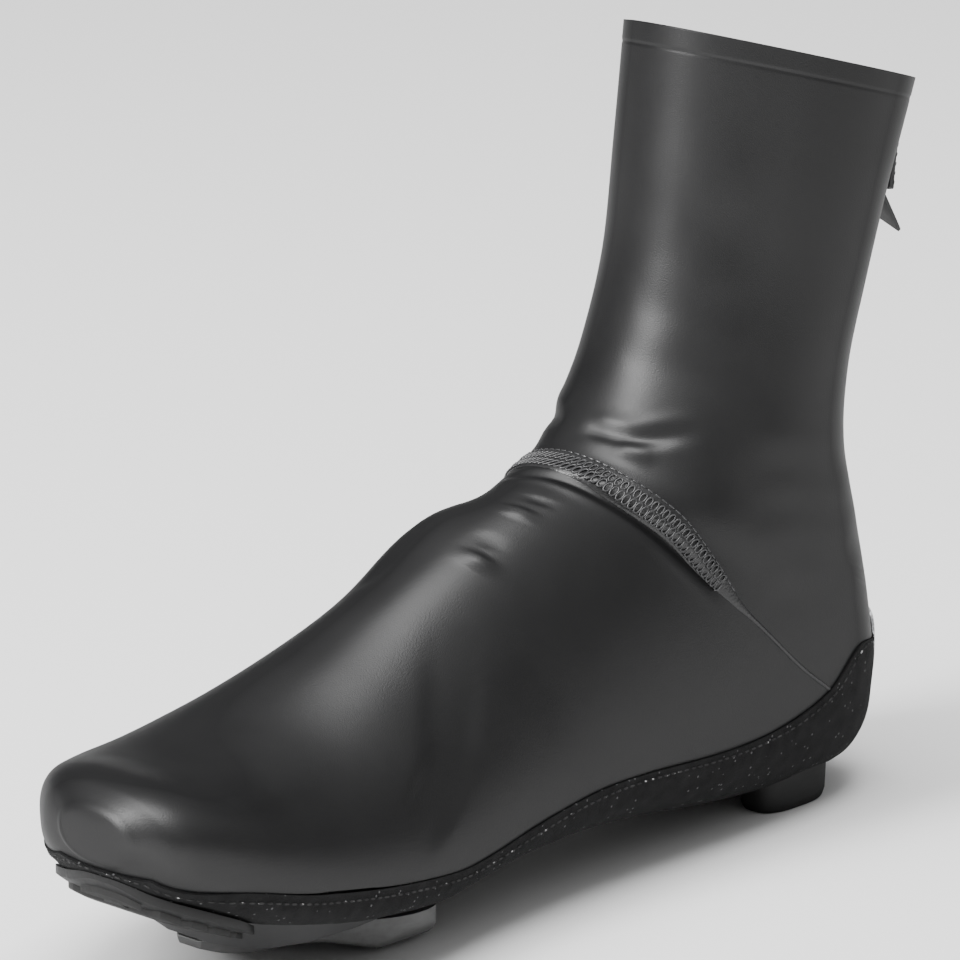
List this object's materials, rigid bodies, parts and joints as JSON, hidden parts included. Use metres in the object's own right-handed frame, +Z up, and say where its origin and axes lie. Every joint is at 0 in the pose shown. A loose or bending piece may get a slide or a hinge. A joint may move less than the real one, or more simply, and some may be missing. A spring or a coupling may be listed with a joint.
{
  "type": "overshoe",
  "caption": "Ankle-high stretch overshoe pulled over a cleated road sole, with a rear zip under a flap, a raised instep seam, an underfoot band and a heel patch.",
  "frame": {"origin": "centre of the bounding box on the floor, under the cleat and the heel lugs", "axes": "+Z up, toe along -Y, heel along +Y, +X the inner side of the foot"},
  "size_m": [0.097, 0.3201, 0.2137],
  "materials": {
    "coated_fabric": "satin",
    "band_fabric": "rough",
    "seam_bond": "gloss",
    "sole_composite": "satin",
    "insole_foam": "rough",
    "tread_rubber": "matte",
    "cleat_plastic": "satin",
    "bolt_steel": "satin",
    "zip_fabric": "rough",
    "zip_plastic": "satin",
    "slider_metal": "satin",
    "flap_fabric": "satin",
    "reflective_film": "satin"
  },
  "bodies": {
    "overshoe": {"upper": "coated_fabric", "underfoot_band": "band_fabric", "instep_seam": "seam_bond", "sole_plate": "sole_composite", "insole": "insole_foam", "toe_plate": "tread_rubber", "heel_lug_inner": "tread_rubber", "heel_lug_outer": "tread_rubber", "cleat_body": "cleat_plastic", "cleat_nose_pad": "tread_rubber", "cleat_bolt_1": "bolt_steel", "cleat_bolt_2": "bolt_steel", "cleat_bolt_3": "bolt_steel", "zip_tape": "zip_fabric", "zip_chain": "zip_plastic", "zip_slider": "slider_metal", "zip_flap": "flap_fabric", "heel_reflector": "reflective_film"},
    "pull_tab": {"zip_pull": "zip_plastic"}
  },
  "joints": [
    {"name": "pull_hinge", "type": "hinge", "parent": "overshoe", "child": "pull_tab", "pos_m": [-0.00174, 0.14867, 0.16103], "axis": [1, 0, 0], "range_deg": [-50, 7]}
  ]
}
